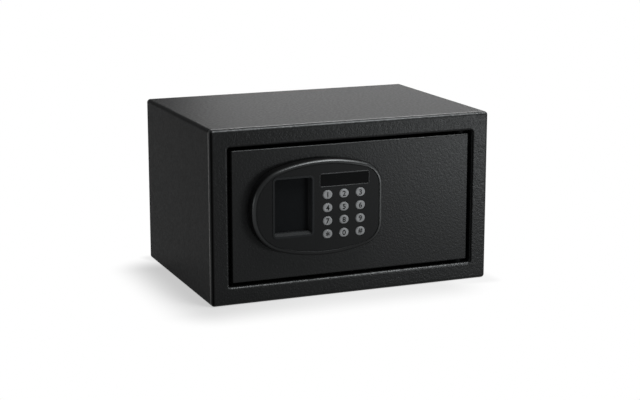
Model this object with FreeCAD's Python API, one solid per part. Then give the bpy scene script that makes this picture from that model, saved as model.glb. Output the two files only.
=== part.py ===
import FreeCAD, Part
import math
import os

Vector = FreeCAD.Vector

# Cabinet
body_width = 342.0
body_height = 200.0
body_depth = 240.0
body_sheet = 2.0
body_edge_radius = 4.0
weld_gap = 0.2

# Front frame
frame_rim_depth = 6.5
frame_seam = 0.4
frame_lip_overlap = 8.0
frame_lip_sheet = 1.5
frame_flange = 21.0
frame_return_depth = 18.0
frame_bend_radius = 3.0
frame_corner_radius = 2.5

# Anchor holes and floor mat
anchor_hole_diameter = 10.5
base_anchor_spacing = 200.0
base_anchor_setback = 20.0
back_anchor_spacing = 200.0
back_anchor_height = 110.0
mat_thickness = 3.0
mat_side_gap = 0.3
mat_back_gap = 0.8
mat_front_gap = 6.0
mat_hole_margin = 4.0

# Door plate
door_gap = 3.6
door_recess = 2.0
door_thickness = 4.0
door_edge_radius = 1.8
door_corner_radius = 2.0

# Hinge
hinge_pin_diameter = 6.0
hinge_pin_head_diameter = 10.0
hinge_pin_head_height = 2.0
hinge_pin_tip = 1.0
hinge_lug_wall = 1.0
hinge_lug_radius = 7.0
hinge_lug_thickness = 5.0
hinge_swing_clearance = 0.4
hinge_washer_diameter = 9.0
running_clearance = 0.05

# Mechanism case and its cover
case_sheet = 1.5
case_corner_radius = 3.0
case_latch_inset = 6.4
case_edge_inset = 8.4
case_hinge_gap = 9.0
cover_sheet = 1.2
cover_fit = 0.3
cover_skirt = 4.0
cover_post_diameter = 8.0
cover_post_inset = 9.0
cover_screw_diameter = 3.0
cover_screw_length = 8.0
cover_screw_head_diameter = 6.0
cover_screw_head_height = 1.8
screw_tip_room = 1.0

# Bolts and their carriage
bolt_diameter = 16.0
bolt_throw = 18.0
bolt_post_gap = 8.0
bolt_chamfer = 1.5
bolt_frame_clearance = 1.5
bolt_hole_clearance = 0.4
bolt_tail_diameter = 8.0
bolt_head_diameter = 12.0
bolt_head_thickness = 1.5
bolt_cover_clearance = 0.5
carriage_sheet = 2.0
carriage_standoff = 10.0
carriage_end_gap = 1.5
carriage_bolt_margin = 12.0
carriage_arm_height = 20.0
carriage_arm_overhang = 4.0

# Guide posts of the carriage
guide_neck_diameter = 6.0
guide_base_diameter = 10.0
guide_head_diameter = 10.0
guide_head_thickness = 2.0
guide_slot_clearance = 0.3
guide_lift_clearance = 0.2
guide_spacing = 50.0
guide_edge_margin = 4.0

# Gear drive
gear_module = 1.0
gear_pressure_degrees = 25.0
gear_backlash = 0.15
gear_addendum_share = 1.0
gear_dedendum_share = 1.25
gear_flank_steps = 3
rack_gear_teeth = 16
motor_gear_teeth = 32
pinion_teeth = 12
gear_face = 4.0
gear_lift = 0.4
gear_hub_radius = 6.0
gear_hub_length = 2.6
gear_web_gap = 24.4
gear_post_diameter = 4.0
gear_post_base_diameter = 9.0
gear_clip_diameter = 7.0
gear_clip_thickness = 0.8
gear_end_clearance = 0.2
rack_body_height = 6.0
rack_end_margin = 10.0

# Motor, its bracket and the limit switches
motor_direction_degrees = 45.0
motor_diameter = 20.0
motor_boss_diameter = 6.0
motor_boss_height = 1.2
motor_shaft_diameter = 2.0
motor_shaft_seat = 3.0
bracket_sheet = 1.5
bracket_reach = 7.0
bracket_half_height = 9.0
bracket_side_gap = 1.5
bracket_foot = 9.0
switch_length = 12.8
switch_width = 5.8
switch_height = 6.5
switch_button_diameter = 2.2
switch_button_height = 1.2
switch_gap = 4.0
switch_spacing = 68.0

# Control board
board_width = 52.0
board_height = 54.0
board_thickness = 1.6
board_standoff = 4.0
board_bracket_gap = 3.0
board_post_diameter = 5.0
board_post_inset = 4.0
plug_width = 8.0
plug_length = 16.0
plug_height = 2.4
chip_width = 14.0
chip_length = 10.0
chip_height = 3.0
capacitor_diameter = 6.0
capacitor_height = 6.0
component_pitch = 13.0

# Battery bay
cell_diameter = 14.2
cell_length = 48.8
cell_nub_diameter = 5.2
cell_nub_length = 1.4
cell_count = 4
cell_side_gap = 1.0
cell_floor_gap = 0.3
battery_wall = 2.0
battery_gap = 6.5
battery_flange_width = 2.0
battery_flange_thickness = 1.5
contact_room = 3.6
contact_sheet = 0.5
contact_width = 10.0
contact_leaf_height = 8.0
lid_overlap = 2.5
lid_thickness = 2.0
lid_clearance = 0.2
lid_edge_radius = 0.8
lid_grip_length = 30.0
lid_grip_width = 1.6
lid_grip_height = 1.0
lid_grip_pitch = 4.0
lid_grip_count = 3
lid_grip_inset = 8.0
rail_wall = 1.5
rail_lip = 2.0
rail_lip_thickness = 1.2

# Lock panel housing
panel_length = 158.0
panel_half_height = 55.0
panel_depth = 13.5
panel_latch_margin = 20.2
panel_rise = 5.6
panel_nose_radius = 90.0
panel_shoulder_radius = 45.0
panel_crown_radius = 185.0
panel_corner_radius = 27.0
panel_crown_offset = 86.5
panel_wall = 2.5
panel_rim_width = 5.0
panel_rim_radius = 4.2
panel_rim_chamfer = 0.3
panel_rim_height = 0.5
panel_ledge_width = 6.0
panel_ledge_thickness = 1.5
panel_boss_diameter = 7.0
panel_boss_inset = 6.5
panel_screw_diameter = 3.5
panel_screw_length = 11.0
panel_screw_head_diameter = 6.5
panel_screw_head_height = 2.2
panel_screw_clearance = 0.5
gasket_thickness = 0.8
gasket_inset = 0.3

# Fascia, finger cup and display
fascia_thickness = 2.5
fascia_gap = 0.25
cup_width = 45.0
cup_height = 65.0
cup_depth = 8.0
cup_offset = 48.7
cup_rise = 3.5
cup_wall = 1.2
cup_draft = 1.5
cup_sill = 3.0
cup_corner_radius = 3.0
cup_floor_radius = 2.5
cup_bezel_width = 0.8
cup_bezel_height = 0.6
display_width = 59.0
display_height = 13.8
display_offset = 110.4
display_rise = 31.0
display_corner_radius = 1.0
display_recess = 0.4
display_thickness = 2.0
display_gap = 0.15
display_frame = 0.8

# Keypad
key_width = 11.6
key_height = 10.2
key_proud = 1.0
key_chamfer = 0.6
key_clearance = 0.3
key_flange_width = 1.0
key_flange_thickness = 1.2
key_pitch_across = 20.0
key_pitch_down = 15.1
keypad_offset = 109.6
keypad_gap = 3.4
keypad_mat_thickness = 1.2
keypad_mat_margin = 0.5
dome_height = 2.8
dome_diameter = 7.0
panel_board_margin = 3.5
panel_board_thickness = 1.6
pillar_diameter = 3.0
pillar_inset = 2.0

# Lead between the two boards
cable_diameter = 4.0
cable_inset = 8.0
grommet_wall = 2.5
grommet_flange_width = 1.5
grommet_flange_thickness = 1.0

# Cutting
cut_overrun = 1.0
plane_tolerance = 0.001

key_rows = [
    ["key_1", "key_2", "key_3"],
    ["key_4", "key_5", "key_6"],
    ["key_7", "key_8", "key_9"],
    ["key_star", "key_0", "key_hash"],
]

# Planes of the cabinet and the door
side_x = body_width / 2
front_y = -body_depth / 2
back_y = body_depth / 2
rim_back_y = front_y + frame_rim_depth
wrap_front_y = rim_back_y + frame_seam
opening_x = side_x - frame_flange
opening_bottom = frame_flange
opening_top = body_height - frame_flange
mid_z = body_height / 2
door_x = opening_x - door_gap
door_bottom = opening_bottom + door_gap
door_top = opening_top - door_gap
door_front_y = front_y + door_recess
door_back_y = door_front_y + door_thickness

# Hinge axis: far enough in for the door's edge to swing clear of the frame
hinge_depth = door_thickness + hinge_lug_wall + hinge_pin_diameter / 2
swing_room = door_gap - hinge_swing_clearance
hinge_inset = (hinge_depth ** 2 - swing_room ** 2) / (2 * swing_room)
hinge_x = door_x - hinge_inset
hinge_y = door_front_y + hinge_depth

# Bolts, carriage and case
bolt_y = front_y + frame_return_depth + bolt_frame_clearance + bolt_diameter / 2
bolt_length = case_sheet + bolt_throw + carriage_end_gap
case_left = case_latch_inset - door_x
case_right = hinge_x - hinge_lug_radius - case_hinge_gap
case_bottom = door_bottom + case_edge_inset
case_top = door_top - case_edge_inset
case_back_y = bolt_y + bolt_diameter / 2 + bolt_cover_clearance + cover_skirt
cover_back_y = case_back_y + cover_sheet
bolt_rise = case_top - cover_post_inset - cover_post_diameter / 2 - bolt_post_gap - bolt_diameter / 2 - mid_z
carriage_left = case_left + bolt_length
carriage_front_y = door_back_y + carriage_standoff
carriage_back_y = carriage_front_y + carriage_sheet
slot_radius = guide_neck_diameter / 2 + guide_slot_clearance
guide_x = carriage_left + guide_edge_margin + slot_radius
web_right = guide_x + bolt_throw + slot_radius + guide_edge_margin

# Gears and motor
gear_pitch = math.pi * gear_module
gear_pressure = math.radians(gear_pressure_degrees)
rack_gear_radius = rack_gear_teeth * gear_module / 2
gear_x = web_right + gear_web_gap
gear_z = mid_z
rack_line_z = gear_z - rack_gear_radius
rack_root_z = rack_line_z - gear_dedendum_share * gear_module
rack_gaps_before = math.ceil(rack_end_margin / gear_pitch)
rack_gaps_after = math.ceil((bolt_throw + rack_end_margin) / gear_pitch)
rack_left = gear_x - rack_gaps_before * gear_pitch
rack_right = gear_x + rack_gaps_after * gear_pitch
arm_right = rack_right + carriage_arm_overhang
arm_guide_x = arm_right - guide_edge_margin - slot_radius - bolt_throw
arm_guide_z = rack_root_z - carriage_arm_height + guide_edge_margin + slot_radius
rack_gear_y = carriage_back_y + gear_lift
hub_y = rack_gear_y + gear_face
motor_gear_y = hub_y + gear_hub_length
gear_back_y = motor_gear_y + gear_face
gear_distance = (motor_gear_teeth + pinion_teeth) * gear_module / 2
motor_direction = math.radians(motor_direction_degrees)
motor_x = gear_x + gear_distance * math.cos(motor_direction)
motor_z = gear_z + gear_distance * math.sin(motor_direction)
bracket_y = hub_y + (gear_hub_length - bracket_sheet) / 2

# Battery bay
cell_pitch = cell_diameter + cell_side_gap
bay_width = cell_length + cell_nub_length + 2 * contact_room
bay_height = cell_count * cell_pitch
bay_depth = cell_diameter + 2 * cell_floor_gap
bay_right = case_right - case_sheet - battery_gap - battery_wall
bay_left = bay_right - bay_width
bay_x = (bay_left + bay_right) / 2
bay_floor_y = case_back_y - bay_depth
lid_travel = bay_width + lid_overlap
lid_left = bay_left - lid_overlap
lid_right = bay_right + lid_overlap
lid_half_height = bay_height / 2 + lid_overlap
lid_front_y = cover_back_y + lid_clearance
lid_back_y = lid_front_y + lid_thickness

# Control board
bracket_leg_x = motor_x + motor_diameter / 2 + bracket_side_gap
bracket_right = bracket_leg_x + bracket_sheet + bracket_foot
board_x = bracket_right + board_bracket_gap + board_width / 2
control_front_y = door_back_y + board_standoff
control_back_y = control_front_y + board_thickness

# Lock panel
panel_left = panel_latch_margin - door_x
panel_right = panel_left + panel_length
panel_z = mid_z + panel_rise
panel_front_y = door_front_y - panel_depth
fascia_front_y = panel_front_y + panel_rim_height
fascia_back_y = fascia_front_y + fascia_thickness
ledge_back_y = fascia_back_y + panel_ledge_thickness
housing_back_y = door_front_y - gasket_thickness
cup_x = panel_left + cup_offset
cup_z = panel_z + cup_rise
cup_back_y = fascia_front_y + cup_depth + cup_wall
display_x = panel_left + display_offset
display_z = panel_z + display_rise
display_bottom = display_z - display_height / 2
display_top = display_z + display_height / 2
lens_front_y = fascia_front_y + display_recess
lens_back_y = lens_front_y + display_thickness
keypad_x = panel_left + keypad_offset
key_radius = key_height / 2
key_flange_radius = key_radius + key_flange_width
key_front_y = fascia_front_y - key_proud
key_back_y = fascia_back_y + key_flange_thickness
first_row_z = display_bottom - keypad_gap - key_flange_radius
last_row_z = first_row_z - (len(key_rows) - 1) * key_pitch_down
mat_front_y = key_back_y + dome_height
panel_board_front_y = mat_front_y + keypad_mat_thickness
panel_board_back_y = panel_board_front_y + panel_board_thickness
keys_half_width = key_pitch_across + key_width / 2 + key_flange_width
panel_board_half_width = max(keys_half_width, display_width / 2) + panel_board_margin
panel_board_bottom = last_row_z - key_flange_radius - panel_board_margin
panel_board_top = display_top + panel_board_margin
cable_x = display_x + panel_board_half_width - cable_inset
cable_z = panel_z
plug_front_y = control_front_y - plug_height


def box(x_span, y_span, z_span):
    corner = Vector(min(x_span), min(y_span), min(z_span))
    lengths = [abs(high - low) for low, high in (x_span, y_span, z_span)]
    return Part.makeBox(*lengths, corner)


def rod_x(x_span, y, z, radius):
    return Part.makeCylinder(radius, x_span[1] - x_span[0], Vector(x_span[0], y, z), Vector(1, 0, 0))


def rod_y(x, y_span, z, radius):
    return Part.makeCylinder(radius, y_span[1] - y_span[0], Vector(x, y_span[0], z), Vector(0, 1, 0))


def rod_z(x, y, z_span, radius):
    return Part.makeCylinder(radius, z_span[1] - z_span[0], Vector(x, y, z_span[0]), Vector(0, 0, 1))


def cone_x(x_start, direction, length, y, z, radius_start, radius_end):
    return Part.makeCone(radius_start, radius_end, length, Vector(x_start, y, z), Vector(direction, 0, 0))


def edges_along_y(shape):
    def is_along(edge):
        bounds = edge.BoundBox
        return bounds.XLength < plane_tolerance and bounds.ZLength < plane_tolerance
    return [edge for edge in shape.Edges if is_along(edge)]


def edges_at_y(shape, y):
    def is_at(edge):
        bounds = edge.BoundBox
        return abs(bounds.YMin - y) < plane_tolerance and abs(bounds.YMax - y) < plane_tolerance
    return [edge for edge in shape.Edges if is_at(edge)]


def end_outline(shape, y):
    ends = [face for face in shape.Faces if len(edges_at_y(face, y)) == len(face.Edges)]
    return ends[0].OuterWire


def rounded_block(x_span, y_span, z_span, radius):
    block = box(x_span, y_span, z_span)
    return block.makeFillet(radius, edges_along_y(block))


def centred(middle, length):
    return (middle - length / 2, middle + length / 2)


def fused(shapes):
    return shapes[0].fuse(shapes[1:]).removeSplitter()


def mirrored_below(shape):
    return shape.mirror(Vector(0, 0, mid_z), Vector(0, 0, 1))


def capped_slot(x_span, y_span, z, radius):
    middle = box(x_span, y_span, (z - radius, z + radius))
    ends = [rod_y(x, y_span, z, radius) for x in x_span]
    return fused([middle] + ends)


def anchor_holes(x_spacing):
    return [-x_spacing / 2, x_spacing / 2]


def body_wrap():
    y_span = (wrap_front_y, back_y)
    outer = rounded_block((-side_x, side_x), y_span, (0, body_height), body_edge_radius)
    inner_x = side_x - body_sheet
    inner_y = (wrap_front_y - cut_overrun, back_y + cut_overrun)
    inner_z = (body_sheet, body_height - body_sheet)
    wrap = outer.cut(rounded_block((-inner_x, inner_x), inner_y, inner_z, body_edge_radius - body_sheet))
    hole_z = (-cut_overrun, body_sheet + cut_overrun)
    for x in anchor_holes(base_anchor_spacing):
        wrap = wrap.cut(rod_z(x, base_anchor_setback, hole_z, anchor_hole_diameter / 2))
    return wrap


def back_panel():
    half_width = side_x - body_sheet - weld_gap
    z_span = (body_sheet + weld_gap, body_height - body_sheet - weld_gap)
    y_span = (back_y - body_sheet, back_y)
    plate = rounded_block((-half_width, half_width), y_span, z_span, body_edge_radius - body_sheet)
    hole_y = (y_span[0] - cut_overrun, y_span[1] + cut_overrun)
    for x in anchor_holes(back_anchor_spacing):
        plate = plate.cut(rod_y(x, hole_y, back_anchor_height, anchor_hole_diameter / 2))
    return plate


def floor_mat():
    half_width = side_x - body_edge_radius - mat_side_gap
    y_span = (front_y + frame_return_depth + mat_front_gap, back_y - body_sheet - mat_back_gap)
    mat = box((-half_width, half_width), y_span, (body_sheet, body_sheet + mat_thickness))
    hole_z = (body_sheet - cut_overrun, body_sheet + mat_thickness + cut_overrun)
    for x in anchor_holes(base_anchor_spacing):
        mat = mat.cut(rod_z(x, base_anchor_setback, hole_z, anchor_hole_diameter / 2 + mat_hole_margin))
    return mat


def rounded_pan(inset, y_span):
    """Block with its front edges and its four long edges rounded, set in from the cabinet's outside."""
    half_width = side_x - inset
    block = box((-half_width, half_width), y_span, (inset, body_height - inset))
    edges = edges_along_y(block) + edges_at_y(block, y_span[0])
    return block.makeFillet(body_edge_radius - inset, edges)


def opening_block(margin, y_span):
    half_width = opening_x + margin
    z_span = (opening_bottom - margin, opening_top + margin)
    return rounded_block((-half_width, half_width), y_span, z_span, frame_corner_radius + margin)


def is_on_opening(point):
    """Whether a point of the frame's front is at the opening, and not at the outer rim."""
    within_width = abs(point.x) < opening_x + plane_tolerance
    return within_width and opening_bottom - plane_tolerance < point.z < opening_top + plane_tolerance


def front_frame():
    shell = rounded_pan(0, (front_y, rim_back_y))
    shell = shell.cut(rounded_pan(body_sheet, (front_y + body_sheet, rim_back_y + cut_overrun)))
    turned_in = opening_block(body_sheet, (front_y + body_sheet, front_y + frame_return_depth))
    frame = fused([shell, turned_in])
    frame = frame.cut(opening_block(0, (front_y - cut_overrun, front_y + frame_return_depth + cut_overrun)))
    inside = [edge for edge in edges_at_y(frame, front_y) if is_on_opening(edge.CenterOfMass)]
    frame = frame.makeFillet(frame_bend_radius, inside)
    frame = fused([frame, frame_lip()])
    pin = hinge_pin_hole()
    return frame.cut(pin).cut(mirrored_below(pin))


def frame_lip():
    """Thin collar inside the rim that the wrap slides over."""
    y_span = (front_y + body_sheet, wrap_front_y + frame_lip_overlap)
    outer_x = side_x - body_sheet
    outer_z = (body_sheet, body_height - body_sheet)
    outer = rounded_block((-outer_x, outer_x), y_span, outer_z, body_edge_radius - body_sheet)
    inset = body_sheet + frame_lip_sheet
    inner_x = side_x - inset
    inner_y = (y_span[0] - cut_overrun, y_span[1] + cut_overrun)
    return outer.cut(box((-inner_x, inner_x), inner_y, (inset, body_height - inset)))


def hinge_pin_hole():
    z_span = (opening_top - cut_overrun, opening_top + body_sheet + cut_overrun)
    return rod_z(hinge_x, hinge_y, z_span, hinge_pin_diameter / 2 + running_clearance)


def hinge_pin_upper():
    tip_z = door_top - hinge_lug_thickness - hinge_pin_tip
    head_z = opening_top + body_sheet
    shank = rod_z(hinge_x, hinge_y, (tip_z, head_z), hinge_pin_diameter / 2)
    head = rod_z(hinge_x, hinge_y, (head_z, head_z + hinge_pin_head_height), hinge_pin_head_diameter / 2)
    return fused([shank, head])


def hinge_washers():
    ring = rod_z(hinge_x, hinge_y, (door_top, opening_top), hinge_washer_diameter / 2)
    bore_z = (door_top - cut_overrun, opening_top + cut_overrun)
    ring = ring.cut(rod_z(hinge_x, hinge_y, bore_z, hinge_pin_diameter / 2 + running_clearance))
    return Part.makeCompound([ring, mirrored_below(ring)])


def hinge_lug_upper():
    z_span = (door_top - hinge_lug_thickness, door_top)
    block = box(centred(hinge_x, 2 * hinge_lug_radius), (door_back_y, hinge_y), z_span)
    barrel = rod_z(hinge_x, hinge_y, z_span, hinge_lug_radius)
    plate = box((-door_x, door_x), (door_front_y, door_back_y), z_span)
    lug = fused([block, barrel]).cut(plate)
    bore_z = (z_span[0] - cut_overrun, z_span[1] + cut_overrun)
    return lug.cut(rod_z(hinge_x, hinge_y, bore_z, hinge_pin_diameter / 2 + running_clearance))


def panel_screw_places():
    crown_x = panel_left + panel_crown_offset
    reach = panel_half_height - panel_boss_inset
    return [
        (panel_left + panel_boss_inset, panel_z),
        (panel_right - panel_boss_inset, panel_z),
        (crown_x, panel_z + reach),
        (crown_x, panel_z - reach),
    ]


def door_plate():
    y_span = (door_front_y, door_back_y)
    block = rounded_block((-door_x, door_x), y_span, (door_bottom, door_top), door_corner_radius)
    plate = block.makeFillet(door_edge_radius, edges_at_y(block, door_front_y))
    hole_y = (door_front_y - cut_overrun, door_back_y + cut_overrun)
    for x, z in panel_screw_places():
        plate = plate.cut(rod_y(x, hole_y, z, panel_screw_diameter / 2 + panel_screw_clearance))
    return plate.cut(rod_y(cable_x, hole_y, cable_z, cable_diameter / 2 + grommet_wall))


def bolt_heights():
    return [mid_z - bolt_rise, mid_z + bolt_rise]


def mechanism_case():
    y_span = (door_back_y, case_back_y)
    case = rounded_block((case_left, case_right), y_span, (case_bottom, case_top), case_corner_radius)
    inner_x = (case_left + case_sheet, case_right - case_sheet)
    inner_y = (y_span[0] - cut_overrun, y_span[1] + cut_overrun)
    inner_z = (case_bottom + case_sheet, case_top - case_sheet)
    case = case.cut(rounded_block(inner_x, inner_y, inner_z, case_corner_radius - case_sheet))
    hole_x = (case_left - cut_overrun, case_left + case_sheet + cut_overrun)
    for z in bolt_heights():
        case = case.cut(rod_x(hole_x, bolt_y, z, bolt_diameter / 2 + bolt_hole_clearance))
    return case


def cover_post_places():
    across = [case_left + cover_post_inset, case_right - cover_post_inset]
    upright = [case_bottom + cover_post_inset, case_top - cover_post_inset]
    return [(x, z) for x in across for z in upright]


def cover_posts():
    hole_y = (cover_back_y - cover_screw_length - screw_tip_room, case_back_y + cut_overrun)
    posts = []
    for x, z in cover_post_places():
        post = rod_y(x, (door_back_y, case_back_y), z, cover_post_diameter / 2)
        posts.append(post.cut(rod_y(x, hole_y, z, cover_screw_diameter / 2 + running_clearance)))
    return Part.makeCompound(posts)


def headed_screw(x, z, y_seat, side, shank_radius, shank_length, head_radius, head_height):
    """Screw whose head seats at y_seat and stands away from the shank towards side."""
    shank_y = sorted((y_seat, y_seat - side * shank_length))
    head_y = sorted((y_seat, y_seat + side * head_height))
    return fused([rod_y(x, shank_y, z, shank_radius), rod_y(x, head_y, z, head_radius)])


def cover_screws():
    screws = [headed_screw(x, z, cover_back_y, 1, cover_screw_diameter / 2, cover_screw_length,
                           cover_screw_head_diameter / 2, cover_screw_head_height)
              for x, z in cover_post_places()]
    return Part.makeCompound(screws)


def inner_cover():
    reach = cover_fit + cover_sheet
    x_span = (case_left - reach, case_right + reach)
    z_span = (case_bottom - reach, case_top + reach)
    y_span = (case_back_y - cover_skirt, cover_back_y)
    cover = rounded_block(x_span, y_span, z_span, case_corner_radius + reach)
    inner_x = (case_left - cover_fit, case_right + cover_fit)
    inner_z = (case_bottom - cover_fit, case_top + cover_fit)
    inner_y = (y_span[0] - cut_overrun, case_back_y)
    cover = cover.cut(rounded_block(inner_x, inner_y, inner_z, case_corner_radius + cover_fit))
    cover = fused([cover] + lid_rails())
    through_y = (case_back_y - cut_overrun, cover_back_y + cut_overrun)
    cover = cover.cut(box((bay_left, bay_right), through_y, centred(mid_z, bay_height)))
    for x, z in cover_post_places():
        cover = cover.cut(rod_y(x, through_y, z, cover_screw_diameter / 2 + running_clearance))
    return cover


def lid_rails():
    """Two hooked rails and an end stop that carry the battery lid."""
    x_span = (lid_left - lid_travel, lid_right)
    rail_back_y = lid_back_y + lid_clearance + rail_lip_thickness
    inner_z = mid_z + lid_half_height + lid_clearance
    wall = box(x_span, (cover_back_y, rail_back_y), (inner_z, inner_z + rail_wall))
    lip = box(x_span, (lid_back_y + lid_clearance, rail_back_y), (inner_z - rail_lip, inner_z))
    rail = fused([wall, lip])
    stop_x = (lid_right + lid_clearance, lid_right + lid_clearance + rail_wall)
    stop = box(stop_x, (cover_back_y, lid_back_y), (mid_z - lid_half_height, mid_z + lid_half_height))
    return [rail, mirrored_below(rail), stop]


def battery_lid():
    z_span = centred(mid_z, 2 * lid_half_height)
    lid = rounded_block((lid_left, lid_right), (lid_front_y, lid_back_y), z_span, lid_edge_radius)
    ribs = []
    for index in range(lid_grip_count):
        x = lid_left + lid_grip_inset + index * lid_grip_pitch
        ribs.append(box(centred(x, lid_grip_width), (lid_back_y, lid_back_y + lid_grip_height),
                        centred(mid_z, lid_grip_length)))
    return fused([lid] + ribs)


def battery_box():
    x_span = (bay_left - battery_wall, bay_right + battery_wall)
    z_span = centred(mid_z, bay_height + 2 * battery_wall)
    tray = box(x_span, (bay_floor_y - battery_wall, case_back_y), z_span)
    flange_x = (x_span[0] - battery_flange_width, x_span[1] + battery_flange_width)
    flange_z = (z_span[0] - battery_flange_width, z_span[1] + battery_flange_width)
    flange = box(flange_x, (case_back_y - battery_flange_thickness, case_back_y), flange_z)
    hollow = box((bay_left, bay_right), (bay_floor_y, case_back_y + cut_overrun), centred(mid_z, bay_height))
    return fused([tray, flange]).cut(hollow)


def cell_places():
    """Height of each cell and the side its nub faces, turned about from one cell to the next."""
    lowest = mid_z - bay_height / 2 + cell_pitch / 2
    return [(lowest + index * cell_pitch, 1 if index % 2 else -1) for index in range(cell_count)]


def battery_cells():
    y = bay_floor_y + cell_floor_gap + cell_diameter / 2
    length = cell_length + cell_nub_length
    cells = []
    for z, side in cell_places():
        can_start = bay_x - length / 2 if side > 0 else bay_x + length / 2 - cell_length
        can = rod_x((can_start, can_start + cell_length), y, z, cell_diameter / 2)
        nub = rod_x((bay_x - length / 2, bay_x + length / 2), y, z, cell_nub_diameter / 2)
        cells.append(fused([can, nub]))
    return Part.makeCompound(cells)


def contact_leaf(x, direction, y, z):
    """Spring leaf bent to a ridge that touches the end of the cell."""
    low, high = centred(z, contact_leaf_height)
    ridge_x = x + direction * (contact_room - contact_sheet)
    near_y, far_y = centred(y, contact_width)
    points = [Vector(x, near_y, low), Vector(ridge_x, near_y, z), Vector(x, near_y, high)]
    return Part.Face(Part.makePolygon(points + points[:1])).extrude(Vector(0, far_y - near_y, 0))


def battery_contacts():
    y = bay_floor_y + cell_floor_gap + cell_diameter / 2
    contacts = []
    for z, _ in cell_places():
        for wall_x, direction in ((bay_left, 1), (bay_right, -1)):
            plate_x = (wall_x, wall_x + direction * contact_sheet)
            plate = box(plate_x, centred(y, contact_width), centred(z, contact_width))
            contacts.append(fused([plate, contact_leaf(plate_x[1], direction, y, z)]))
    return Part.makeCompound(contacts)


def guide_places():
    web_guides = [(guide_x, z) for z in centred(mid_z, guide_spacing)]
    return web_guides + [(arm_guide_x, arm_guide_z)]


def guide_posts():
    shoulder_y = carriage_front_y - guide_lift_clearance
    head_y = carriage_back_y + guide_lift_clearance
    posts = []
    for x, z in guide_places():
        base = rod_y(x, (door_back_y, shoulder_y), z, guide_base_diameter / 2)
        neck = rod_y(x, (shoulder_y, head_y), z, guide_neck_diameter / 2)
        head = rod_y(x, (head_y, head_y + guide_head_thickness), z, guide_head_diameter / 2)
        posts.append(fused([base, neck, head]))
    return Part.makeCompound(posts)


def bolt_carriage():
    reach = bolt_rise + carriage_bolt_margin
    z_span = (mid_z - reach, mid_z + reach)
    plate_y = (carriage_front_y, carriage_back_y)
    web = box((carriage_left, web_right), plate_y, z_span)
    arm = box((web_right, arm_right), plate_y, (rack_root_z - carriage_arm_height, rack_root_z))
    flange_x = (carriage_left, carriage_left + carriage_sheet)
    flange = box(flange_x, (carriage_front_y, bolt_y + bolt_diameter / 2), z_span)
    carriage = fused([web, arm, flange])
    slot_y = (carriage_front_y - cut_overrun, carriage_back_y + cut_overrun)
    for x, z in guide_places():
        carriage = carriage.cut(capped_slot((x, x + bolt_throw), slot_y, z, slot_radius))
    hole_x = (carriage_left - cut_overrun, carriage_left + carriage_sheet + cut_overrun)
    for z in bolt_heights():
        carriage = carriage.cut(rod_x(hole_x, bolt_y, z, bolt_tail_diameter / 2 + running_clearance))
    return carriage


def lock_bolt(z):
    head_x = carriage_left + carriage_sheet
    shank = rod_x((case_left + bolt_chamfer, carriage_left), bolt_y, z, bolt_diameter / 2)
    tip = cone_x(case_left + bolt_chamfer, -1, bolt_chamfer, bolt_y, z,
                 bolt_diameter / 2, bolt_diameter / 2 - bolt_chamfer)
    tail = rod_x((carriage_left, head_x), bolt_y, z, bolt_tail_diameter / 2)
    head = rod_x((head_x, head_x + bolt_head_thickness), bolt_y, z, bolt_head_diameter / 2)
    return fused([shank, tip, tail, head])


def bolt_rack():
    """Straight rack with a gap under the gear's lowest tooth."""
    slope = math.tan(gear_pressure)
    addendum = gear_addendum_share * gear_module
    half = gear_pitch / 4 - gear_backlash / 2
    half_tip = half - addendum * slope
    half_root = half + gear_dedendum_share * gear_module * slope
    bottom_z = rack_root_z - rack_body_height
    corners = [(rack_left, bottom_z), (rack_left, rack_root_z)]
    for index in range(rack_gaps_before + rack_gaps_after):
        x = rack_left + (index + 0.5) * gear_pitch
        corners += [(x - half_root, rack_root_z), (x - half_tip, rack_line_z + addendum)]
        corners += [(x + half_tip, rack_line_z + addendum), (x + half_root, rack_root_z)]
    corners += [(rack_right, rack_root_z), (rack_right, bottom_z)]
    points = [Vector(x, carriage_back_y, z) for x, z in corners]
    face = Part.Face(Part.makePolygon(points + points[:1]))
    return face.extrude(Vector(0, gear_lift + gear_face - gear_end_clearance, 0))


def circle_point(centre, radius, angle):
    return (centre[0] + radius * math.cos(angle), centre[1] + radius * math.sin(angle))


def involute_angle(pressure):
    return math.tan(pressure) - pressure


def gear_blank(teeth, x, z, tooth_direction, y_span):
    """Involute gear with one tooth centred on tooth_direction."""
    pitch_radius = teeth * gear_module / 2
    base_radius = pitch_radius * math.cos(gear_pressure)
    tip_radius = pitch_radius + gear_addendum_share * gear_module
    root_radius = pitch_radius - gear_dedendum_share * gear_module
    half_angle = (gear_pitch / 2 - gear_backlash) / (2 * pitch_radius) + involute_angle(gear_pressure)
    start = max(base_radius, root_radius)
    radii = [start + (tip_radius - start) * step / gear_flank_steps for step in range(gear_flank_steps + 1)]
    flank = [(radius, half_angle - involute_angle(math.acos(base_radius / radius))) for radius in radii]
    flank = [(root_radius, flank[0][1])] + flank if root_radius < start else flank
    points = []
    for tooth in range(teeth):
        middle = tooth_direction + 2 * math.pi * tooth / teeth
        outline = [circle_point((x, z), radius, middle - angle) for radius, angle in flank]
        outline += [circle_point((x, z), radius, middle + angle) for radius, angle in reversed(flank)]
        points += [Vector(across, y_span[0], up) for across, up in outline]
    face = Part.Face(Part.makePolygon(points + points[:1]))
    return face.extrude(Vector(0, y_span[1] - y_span[0], 0))


def drive_gear():
    small = gear_blank(rack_gear_teeth, gear_x, gear_z, -math.pi / 2, (rack_gear_y, hub_y))
    large = gear_blank(motor_gear_teeth, gear_x, gear_z, motor_direction, (motor_gear_y, gear_back_y))
    hub = rod_y(gear_x, (hub_y, motor_gear_y), gear_z, gear_hub_radius)
    bore_y = (rack_gear_y - cut_overrun, gear_back_y + cut_overrun)
    return fused([small, large, hub]).cut(
        rod_y(gear_x, bore_y, gear_z, gear_post_diameter / 2 + running_clearance))


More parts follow.
